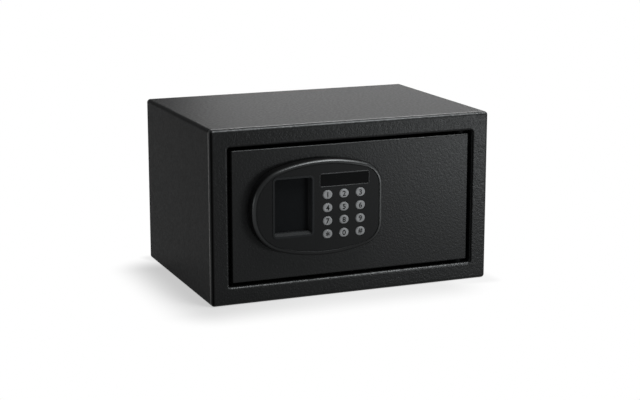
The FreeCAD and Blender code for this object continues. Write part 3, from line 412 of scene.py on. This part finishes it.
FINISHES = {
    PAINT_CABINET: ["body_wrap", "back_panel"],
    PAINT_FRAME: ["front_frame"],
    PAINT_DOOR: ["door_plate"],
    PAINT_COVER: ["inner_cover"],
    PAINT_HINGE: ["hinge_pin_upper", "hinge_pin_lower", "hinge_lug_upper", "hinge_lug_lower"],
    ZINC_SHEET: ["mechanism_case", "cover_posts", "motor_bracket", "bolt_carriage"],
    STEEL: ["guide_posts", "gear_post", "cover_screws", "panel_screws", "motor_shaft"],
    BOLT_STEEL: ["bolt_upper", "bolt_lower"],
    BRASS: ["bolt_rack", "motor_pinion"],
    ACETAL: ["drive_gear"],
    MOTOR_CAN: ["lock_motor"],
    BOARD: ["control_board", "panel_board"],
    NYLON: ["hinge_washers"],
    DARK_PLASTIC: ["board_components", "board_standoffs", "limit_switches", "display_module",
                   "battery_box", "battery_lid"],
    NICKEL: ["battery_contacts"],
    SLEEVE: ["battery_cells"],
    FELT: ["floor_mat"],
    RUBBER: ["panel_gasket", "cable_grommet", "panel_cable", "keypad_mat"],
    HOUSING: ["panel_housing"],
    FASCIA: ["fascia"],
    CUP: ["finger_cup"],
    LENS: ["display_window"],
}


def wear(piece, material):
    piece.data.materials.clear()
    piece.data.materials.append(material)


for material, names in FINISHES.items():
    for name in names:
        wear(NODES[name], material)


# Pieces

def add_piece(name, mesh, material, body):
    piece = bpy.data.objects.new(name, mesh)
    SCENE.collection.objects.link(piece)
    wear(piece, material)
    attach(piece, body)
    return piece


CORNER_STEPS = 16
# Signs of the four corners of a rectangle, counter-clockwise from the upper right
CORNERS = ((1, 1), (-1, 1), (-1, -1), (1, -1))
WELD = 0.0005 * MM
SHARP_ANGLE = 35


def rounded_ring(centre, half_width, half_height, corner, y):
    """Points of a rectangle with round corners about centre, in the plane at y."""
    points = []
    for quarter, (side, end) in enumerate(CORNERS):
        x = centre.x + side * (half_width - corner)
        z = centre.z + end * (half_height - corner)
        for step in range(CORNER_STEPS + 1):
            angle = math.radians(RIGHT_ANGLE * (quarter + step / CORNER_STEPS))
            points.append((x + corner * math.cos(angle), y, z + corner * math.sin(angle)))
    return points


def ringed_mesh(name, rings):
    """Smooth mesh through rings of points in order, where a ring of one point closes an end."""
    mesh = bmesh.new()
    loops = [[mesh.verts.new(point) for point in ring] for ring in rings]
    count = max(len(loop) for loop in loops)
    for near, far in zip(loops, loops[1:]):
        for step in range(count):
            after = (step + 1) % count
            corners = [near[step % len(near)], near[after % len(near)]]
            corners += [far[after % len(far)], far[step % len(far)]]
            mesh.faces.new(list(dict.fromkeys(corners)))
    bmesh.ops.remove_doubles(mesh, verts=mesh.verts, dist=WELD)
    bmesh.ops.recalc_face_normals(mesh, faces=mesh.faces)
    made = bpy.data.meshes.new(name)
    mesh.to_mesh(made)
    mesh.free()
    made.shade_smooth()
    made.set_sharp_from_angle(angle=math.radians(SHARP_ANGLE))
    return made


KEY_FLANGE = 1.0 * MM
KEY_FLANGE_DEPTH = 1.2 * MM
KEY_RIM = 1.1 * MM
KEY_RIM_STEPS = 6
KEY_DISH = 0.06 * MM
KEY_DISH_SHARE = 0.45
KEY_BACK_GAP = 0.02 * MM


def key_mesh(name, low, high):
    """Key with a soft rounded rim, a shallow dish and the flange behind the fascia."""
    centre = (low + high) / 2
    flange = (high.z - low.z) / 2
    run = (high.x - low.x) / 2 - flange
    radius = flange - KEY_FLANGE
    front = low.y + KEY_DISH
    seat = high.y - KEY_FLANGE_DEPTH
    back = high.y - KEY_BACK_GAP
    profile = [(radius * KEY_DISH_SHARE, front + KEY_DISH)]
    for step in range(KEY_RIM_STEPS + 1):
        turn = math.radians(RIGHT_ANGLE * step / KEY_RIM_STEPS)
        inset = KEY_RIM * (1 - math.sin(turn))
        profile.append((radius - inset, front + KEY_RIM * (1 - math.cos(turn))))
    profile += [(radius, seat), (flange, seat), (flange, back)]
    rings = [rounded_ring(centre, size + run, size, size, y) for size, y in profile]
    front_point = (centre.x, front + 2 * KEY_DISH, centre.z)
    back_point = (centre.x, back, centre.z)
    return ringed_mesh(name, [[front_point]] + rings + [[back_point]])


LEGEND_STROKE = 0.17 * MM
LEGEND_THICKNESS = 0.015 * MM
LEGEND_DEPTH = 0.1 * MM
SIGN_SIZE = 8.4 * MM
STAR_SIZE = 12.0 * MM
SIGNS = {"key_star": "*", "key_hash": "#"}


def legend_mesh(name, word, centre, front, size):
    """Flat printed sign on the face of a key."""
    curve = bpy.data.curves.new(name, "FONT")
    curve.body = word
    curve.size = size
    curve.align_x = "CENTER"
    curve.align_y = "CENTER"
    curve.extrude = LEGEND_THICKNESS
    curve.offset = LEGEND_STROKE
    holder = bpy.data.objects.new(name, curve)
    SCENE.collection.objects.link(holder)
    bpy.context.view_layer.update()
    made = bpy.data.meshes.new_from_object(holder.evaluated_get(bpy.context.evaluated_depsgraph_get()))
    bpy.data.objects.remove(holder)
    xs = [vertex.co.x for vertex in made.vertices]
    ys = [vertex.co.y for vertex in made.vertices]
    middle = Vector(((min(xs) + max(xs)) / 2, (min(ys) + max(ys)) / 2, 0))
    turn = Matrix.Translation((centre.x, front, centre.z)) @ Matrix.Rotation(math.pi / 2, 4, "X")
    made.transform(turn @ Matrix.Translation(-middle))
    return made


TRIM_WIDTH = 1.3 * MM
TRIM_RISE = 0.35 * MM
TRIM_ROUND = 0.3 * MM
TRIM_CORNER = 1.0 * MM


def trim_mesh(name, node):
    """Thin raised border that lies on the fascia round a window."""
    low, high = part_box(node)
    centre = (low + high) / 2
    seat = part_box("fascia")[0].y
    front = seat - TRIM_RISE
    section = [(0, seat), (0, front + TRIM_ROUND), (TRIM_ROUND, front), (TRIM_WIDTH - TRIM_ROUND, front),
               (TRIM_WIDTH, front + TRIM_ROUND), (TRIM_WIDTH, seat), (0, seat)]
    half_width = (high.x - low.x) / 2
    half_height = (high.z - low.z) / 2
    rings = [rounded_ring(centre, half_width + out, half_height + out, TRIM_CORNER + out, y)
             for out, y in section]
    return ringed_mesh(name, rings)


add_piece("display_trim", trim_mesh("display_trim", "display_window"), TRIM, "door")

for name in [node for node in NODES if node.startswith("key_")]:
    low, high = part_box(name)
    centre = (low + high) / 2
    cap = add_piece("cap_" + name, key_mesh("cap_" + name, low, high), KEY, name)
    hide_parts(name)
    sign = SIGNS.get(name, name[-1])
    size = STAR_SIZE if sign == "*" else SIGN_SIZE
    legend = legend_mesh("legend_" + name, sign, centre, low.y + LEGEND_DEPTH, size)
    add_piece("legend_" + name, legend, INK, name)


# Studio

FLOOR_HALF = 14
FLOOR_NOISE_SCALE = 3
FLOOR_GREYS = (0.40, 0.42)
# The floor's white share beside the object: in the wide shade, at its left end and at the contact all
# round. Less white there shows the floor's own shadow and also paints shade onto the grey floor
NEAR_WHITE_SHARE = 0.67
LEFT_WHITE_SHARE = 0.5
CONTACT_WHITE_SHARE = 0.8
WHITE_REACH = 0.07
CONTACT_REACH = 0.018
LEFT_END = (-0.2, -0.05)
# Box on the floor that the wide shade surrounds
SHADE_LOW = Vector((-0.171, -0.132, -0.2))
SHADE_HIGH = Vector((0.1, 0.06, 0.2))


def outside_distance(shader, low, high):
    """Distance of a point of the floor from a box that stands on it."""
    outside = shader.vector("SUBTRACT", shader.place, (low + high) / 2)
    outside = shader.vector("ABSOLUTE", outside)
    outside = shader.vector("SUBTRACT", outside, (high - low) / 2)
    outside = shader.vector("MAXIMUM", outside, (0, 0, 0))
    return shader.vector("LENGTH", outside, output="Value")


def seen_white(shader):
    """Lift the floor towards white where it is seen, also in a reflection, and least beside the object,
    where the floor's own shadow shows and shade is painted as well.
    """
    across = shader.parts(shader.place)["X"]
    shade = shader.span(across, 1 - LEFT_WHITE_SHARE, 1 - NEAR_WHITE_SHARE, *LEFT_END)
    spread = outside_distance(shader, SHADE_LOW, SHADE_HIGH)
    shade = shader.math("MULTIPLY", shade, shader.span(spread, 1, 0, 0, WHITE_REACH, "SMOOTHSTEP"))
    # Narrow band all round the object, where less white shows the contact shadow and paints shade as well
    low, high = (Vector(corner) for corner in CAD_BOX)
    edge = outside_distance(shader, low, high)
    contact = shader.span(edge, 1 - CONTACT_WHITE_SHARE, 0, 0, CONTACT_REACH, "SMOOTHSTEP")
    share = shader.math("SUBTRACT", 1, shader.math("MAXIMUM", shade, contact))
    path = shader.node("ShaderNodeLightPath")
    seen = shader.math("MAXIMUM", path.outputs["Is Camera Ray"], path.outputs["Is Glossy Ray"])
    white = shader.node("ShaderNodeEmission")
    both = shader.node("ShaderNodeMixShader")
    shader.link(shader.math("MULTIPLY", seen, share), both.inputs["Fac"])
    shader.link(shader.surface.outputs["BSDF"], both.inputs[1])
    shader.link(white.outputs["Emission"], both.inputs[2])
    shader.link(both.outputs["Shader"], shader.tree.nodes["Material Output"].inputs["Surface"])


def add_floor():
    mesh = bpy.data.meshes.new("floor")
    corners = [(side * FLOOR_HALF, end * FLOOR_HALF, 0) for side, end in CORNERS]
    mesh.from_pydata(corners, [], [(0, 1, 2, 3)])
    floor = bpy.data.objects.new("floor", mesh)
    SCENE.collection.objects.link(floor)
    shader = Shader("floor_white")
    greys = [(grey,) * 3 for grey in FLOOR_GREYS]
    shader.colour(shader.ramp(shader.noise(FLOOR_NOISE_SCALE), *greys))
    shader.set(Roughness=0.9, Specular_IOR_Level=0.0)
    seen_white(shader)
    wear(floor, shader.material)


WORLD_BRIGHT_SIDE = (0.55, 0.83, 0)
WORLD_DIM_END = 0.1
WORLD_DIM = 0.26
WORLD_BRIGHT = 0.42


def add_world():
    world = bpy.data.worlds.new("studio")
    SCENE.world = world
    world.use_nodes = True
    nodes = world.node_tree.nodes
    links = world.node_tree.links
    place = nodes.new("ShaderNodeTexCoord")
    towards = nodes.new("ShaderNodeVectorMath")
    towards.operation = "DOT_PRODUCT"
    towards.inputs[1].default_value = WORLD_BRIGHT_SIDE
    links.new(place.outputs["Generated"], towards.inputs[0])
    spread = nodes.new("ShaderNodeMapRange")
    spread.inputs["From Min"].default_value = -1
    links.new(towards.outputs["Value"], spread.inputs["Value"])
    ramp = nodes.new("ShaderNodeValToRGB")
    dim, bright = ramp.color_ramp.elements
    dim.position = WORLD_DIM_END
    dim.color = (*tint(WORLD_DIM), 1)
    bright.color = (*tint(WORLD_BRIGHT), 1)
    links.new(spread.outputs["Result"], ramp.inputs["Fac"])
    links.new(ramp.outputs["Color"], nodes["Background"].inputs["Color"])


SUN_SPREAD = 20


def add_light(kind, name, place, target, energy, **settings):
    data = bpy.data.lights.new(name, kind)
    data.energy = energy
    for key, value in settings.items():
        setattr(data, key, value)
    light = bpy.data.objects.new(name, data)
    SCENE.collection.objects.link(light)
    light.location = place
    light.visible_camera = False
    light.rotation_euler = (Vector(target) - Vector(place)).to_track_quat("-Z", "Y").to_euler()


def add_panel(name, place, target, energy, width, height):
    add_light("AREA", name, place, target, energy, shape="RECTANGLE", size=width, size_y=height)


SENSOR_WIDTH = 36
LENS_LENGTH = 89.57
CAMERA_PLACE = (-0.7057, -1.7412, 0.5001)
CAMERA_DOWN = 12.486
CAMERA_TURN = -22.288


def add_camera():
    data = bpy.data.cameras.new("camera")
    data.sensor_width = SENSOR_WIDTH
    data.lens = LENS_LENGTH
    camera = bpy.data.objects.new("camera", data)
    SCENE.collection.objects.link(camera)
    camera.location = CAMERA_PLACE
    camera.rotation_euler = (math.radians(RIGHT_ANGLE - CAMERA_DOWN), 0, math.radians(CAMERA_TURN))
    SCENE.camera = camera


add_floor()
add_world()
add_light("SUN", "sky_panel", place=(0.42, -0.6, 1.1), target=(0, 0, 0), energy=1.6,
          angle=math.radians(SUN_SPREAD))
add_panel("over_strip", place=(0.46, -0.42, 1.1), target=(0.46, -0.42, 0), energy=7.5,
          width=0.26, height=0.7)
add_panel("side_panel", place=(0.66, -0.95, 0.05), target=(0.1, -0.1, 0.15), energy=5.2,
          width=0.35, height=0.08)
add_panel("left_panel", place=(-1.5, -0.35, 0.2), target=(0, -0.1, 0.1), energy=2.0,
          width=0.4, height=0.3)
add_panel("back_strip", place=(0.905, 1.275, 0.6), target=(0.05, 0, 0.2), energy=8.0,
          width=1.3, height=0.5)
add_camera()
SCENE.view_settings.view_transform = "Standard"
